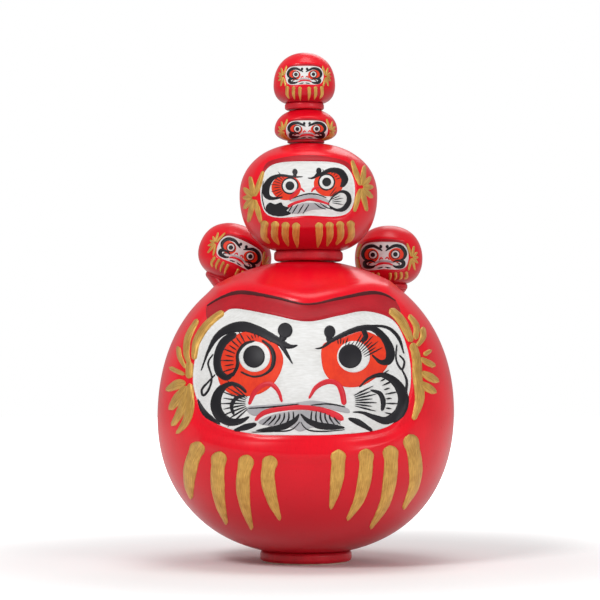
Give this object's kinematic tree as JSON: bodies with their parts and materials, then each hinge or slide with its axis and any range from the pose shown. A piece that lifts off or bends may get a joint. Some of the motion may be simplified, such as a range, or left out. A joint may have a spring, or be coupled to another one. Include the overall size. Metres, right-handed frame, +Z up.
{
  "type": "daruma doll stack",
  "caption": "Stack of round papier-mache daruma dolls: a big one carries smaller ones on its crown and shoulders; upper dolls lift off and turn on wooden pegs.",
  "frame": {"origin": "centre of the biggest doll's resting face, under its clay foot", "axes": "+Z up through the stack, every face looks towards -Y, +X to the viewer's right"},
  "size_m": [0.1752, 0.1743, 0.3011],
  "materials": {
    "lacquered_paper": "papier-mache, bright red lacquer over white ground, painted face",
    "painted_clay": "unglazed clay painted deep red",
    "plain_paper": "matte kozo paper",
    "turned_wood": "plain turned wood"
  },
  "bodies": {
    "large_doll": {"large_base_paper": "plain_paper", "large_crown_block": "turned_wood", "large_seam_strip": "plain_paper", "large_shell_back": "lacquered_paper", "large_shell_front": "lacquered_paper", "large_weight": "painted_clay"},
    "medium_peg": {"medium_peg": "turned_wood"},
    "medium_doll": {"medium_crown_block": "turned_wood", "medium_seam_strip": "plain_paper", "medium_shell_back": "lacquered_paper", "medium_shell_front": "lacquered_paper", "medium_weight": "painted_clay"},
    "third_peg": {"third_peg": "turned_wood"},
    "third_doll": {"third_crown_block": "turned_wood", "third_seam_strip": "plain_paper", "third_shell_back": "lacquered_paper", "third_shell_front": "lacquered_paper", "third_weight": "painted_clay"},
    "top_peg": {"top_peg": "turned_wood"},
    "top_doll": {"top_seam_strip": "plain_paper", "top_shell_back": "lacquered_paper", "top_shell_front": "lacquered_paper", "top_weight": "painted_clay"},
    "left_doll": {"left_saddle": "lacquered_paper", "left_seam_strip": "plain_paper", "left_shell_back": "lacquered_paper", "left_shell_front": "lacquered_paper", "left_weight": "painted_clay", "left_peg": "turned_wood"},
    "right_doll": {"right_saddle": "lacquered_paper", "right_seam_strip": "plain_paper", "right_shell_back": "lacquered_paper", "right_shell_front": "lacquered_paper", "right_weight": "painted_clay", "right_peg": "turned_wood"}
  },
  "joints": [
    {"name": "medium_lift", "type": "slide", "parent": "large_doll", "child": "medium_peg", "axis": [0, 0, 1], "range_m": [0, 0.018]},
    {"name": "medium_turn", "type": "hinge", "parent": "medium_peg", "child": "medium_doll", "pos_m": [0.0015, 0, 0.178], "axis": [0, 0, 1], "continuous": true},
    {"name": "third_lift", "type": "slide", "parent": "medium_doll", "child": "third_peg", "axis": [0, 0, 1], "range_m": [0, 0.011]},
    {"name": "third_turn", "type": "hinge", "parent": "third_peg", "child": "third_doll", "pos_m": [0, 0, 0.2476], "axis": [0, 0, 1], "continuous": true},
    {"name": "top_lift", "type": "slide", "parent": "third_doll", "child": "top_peg", "axis": [0, 0, 1], "range_m": [0, 0.0075]},
    {"name": "top_turn", "type": "hinge", "parent": "top_peg", "child": "top_doll", "pos_m": [-0.0009, 0, 0.268], "axis": [0, 0, 1], "continuous": true},
    {"name": "left_lift", "type": "slide", "parent": "large_doll", "child": "left_doll", "axis": [-0.5314, 0.4376, 0.7254], "range_m": [0, 0.014]},
    {"name": "right_lift", "type": "slide", "parent": "large_doll", "child": "right_doll", "axis": [0.522, 0.4487, 0.7254], "range_m": [0, 0.014]}
  ]
}
